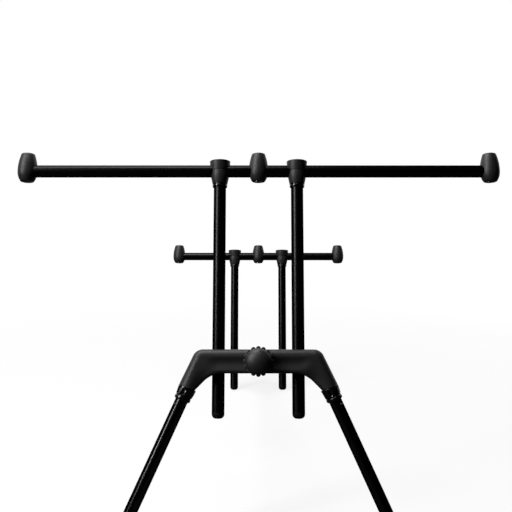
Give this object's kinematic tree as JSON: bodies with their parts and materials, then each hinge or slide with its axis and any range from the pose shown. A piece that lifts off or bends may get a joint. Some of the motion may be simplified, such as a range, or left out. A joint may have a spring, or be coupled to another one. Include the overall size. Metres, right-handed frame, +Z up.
{
  "type": "rod pod",
  "caption": "Black rod pod: wide front goal and narrow rear goal in moulded clamp heads on a telescopic centre tube, with splayed telescopic front legs.",
  "frame": {"origin": "on the ground under the middle of the pod's bounding box", "axes": "X to the right seen from the front, Y from the wide front goal to the narrow rear goal, Z up"},
  "size_m": [0.6332, 0.7382, 0.4861],
  "materials": {
    "anodised": "satin black anodised tube",
    "anodised_slider": "satin black anodised tube, slightly lighter",
    "moulded": "matte dark grey moulded nylon",
    "gloss": "gloss black moulded plastic",
    "rubber": "matte black rubber",
    "steel": "plain turned steel",
    "brass": "turned brass insert"
  },
  "bodies": {
    "front_frame": {"front_yoke": "moulded", "front_saddle": "moulded", "front_nut": "brass", "front_washer": "gloss", "centre_outer": "anodised", "left_leg_tube": "anodised", "right_leg_tube": "anodised", "leg_rivets": "steel"},
    "front_clamp": {"front_knob": "moulded", "front_stud": "steel"},
    "front_goal": {"front_bar": "anodised", "front_barrel_left": "moulded", "front_barrel_centre": "moulded", "front_barrel_right": "moulded", "front_bushes": "steel", "front_tee_left": "moulded", "front_tee_right": "moulded", "front_tee_caps": "moulded", "front_tee_bolts": "steel", "front_ferrules": "gloss", "front_upright_left": "anodised", "front_upright_right": "anodised", "front_end_caps": "rubber"},
    "left_collar": {"left_leg_collar": "gloss"},
    "right_collar": {"right_leg_collar": "gloss"},
    "left_lock": {"left_leg_lock": "gloss"},
    "right_lock": {"right_leg_lock": "gloss"},
    "left_leg": {"left_leg_slider": "anodised_slider", "left_leg_expander": "gloss", "left_foot": "rubber"},
    "right_leg": {"right_leg_slider": "anodised_slider", "right_leg_expander": "gloss", "right_foot": "rubber"},
    "tube_lock": {"centre_lock": "gloss"},
    "rear_frame": {"rear_yoke": "moulded", "rear_saddle": "moulded", "rear_nut": "brass", "rear_washer": "gloss", "centre_inner": "anodised_slider", "centre_guide": "gloss"},
    "rear_clamp": {"rear_knob": "moulded", "rear_stud": "steel"},
    "rear_goal": {"rear_bar": "anodised", "rear_barrel_left": "moulded", "rear_barrel_centre": "moulded", "rear_barrel_right": "moulded", "rear_bushes": "steel", "rear_tee_left": "moulded", "rear_tee_right": "moulded", "rear_tee_caps": "moulded", "rear_tee_bolts": "steel", "rear_ferrules": "gloss", "rear_upright_left": "anodised", "rear_upright_right": "anodised", "rear_end_caps": "rubber"}
  },
  "joints": [
    {"name": "front_clamp_turn", "type": "hinge", "parent": "front_frame", "child": "front_clamp", "pos_m": [0, -0.31301, 0.23223], "axis": [0, -0.9613, 0.2756], "continuous": true},
    {"name": "front_goal_height", "type": "slide", "parent": "front_frame", "child": "front_goal", "axis": [0, 0.2756, 0.9613], "range_m": [-0.14, 0.04]},
    {"name": "tube_lock_turn", "type": "hinge", "parent": "front_frame", "child": "tube_lock", "pos_m": [0, 0.04266, 0.13024], "axis": [0, 0.9613, -0.2756], "range_deg": [0, 90]},
    {"name": "pod_length", "type": "slide", "parent": "front_frame", "child": "rear_frame", "axis": [0, 0.9613, -0.2756], "range_m": [-0.12, 0.08]},
    {"name": "rear_clamp_turn", "type": "hinge", "parent": "rear_frame", "child": "rear_clamp", "pos_m": [0, 0.32143, 0.05031], "axis": [0, 0.9613, -0.2756], "continuous": true},
    {"name": "rear_goal_height", "type": "slide", "parent": "rear_frame", "child": "rear_goal", "axis": [0, 0.2756, 0.9613], "range_m": [-0.1, 0.03]},
    {"name": "left_collar_turn", "type": "hinge", "parent": "front_frame", "child": "left_collar", "pos_m": [-0.09161, -0.30628, 0.18858], "axis": [-0.4115, -0.2512, -0.8761], "range_deg": [0, 90]},
    {"name": "left_lock_turn", "type": "hinge", "parent": "front_frame", "child": "left_lock", "pos_m": [-0.16267, -0.34966, 0.03728], "axis": [-0.4115, -0.2512, -0.8761], "range_deg": [0, 90]},
    {"name": "left_leg_length", "type": "slide", "parent": "front_frame", "child": "left_leg", "axis": [-0.4115, -0.2512, -0.8761], "range_m": [0, 0.11]},
    {"name": "right_collar_turn", "type": "hinge", "parent": "front_frame", "child": "right_collar", "pos_m": [0.09161, -0.30628, 0.18858], "axis": [0.4115, -0.2512, -0.8761], "range_deg": [0, 90]},
    {"name": "right_lock_turn", "type": "hinge", "parent": "front_frame", "child": "right_lock", "pos_m": [0.16267, -0.34966, 0.03728], "axis": [0.4115, -0.2512, -0.8761], "range_deg": [0, 90]},
    {"name": "right_leg_length", "type": "slide", "parent": "front_frame", "child": "right_leg", "axis": [0.4115, -0.2512, -0.8761], "range_m": [0, 0.11]}
  ]
}
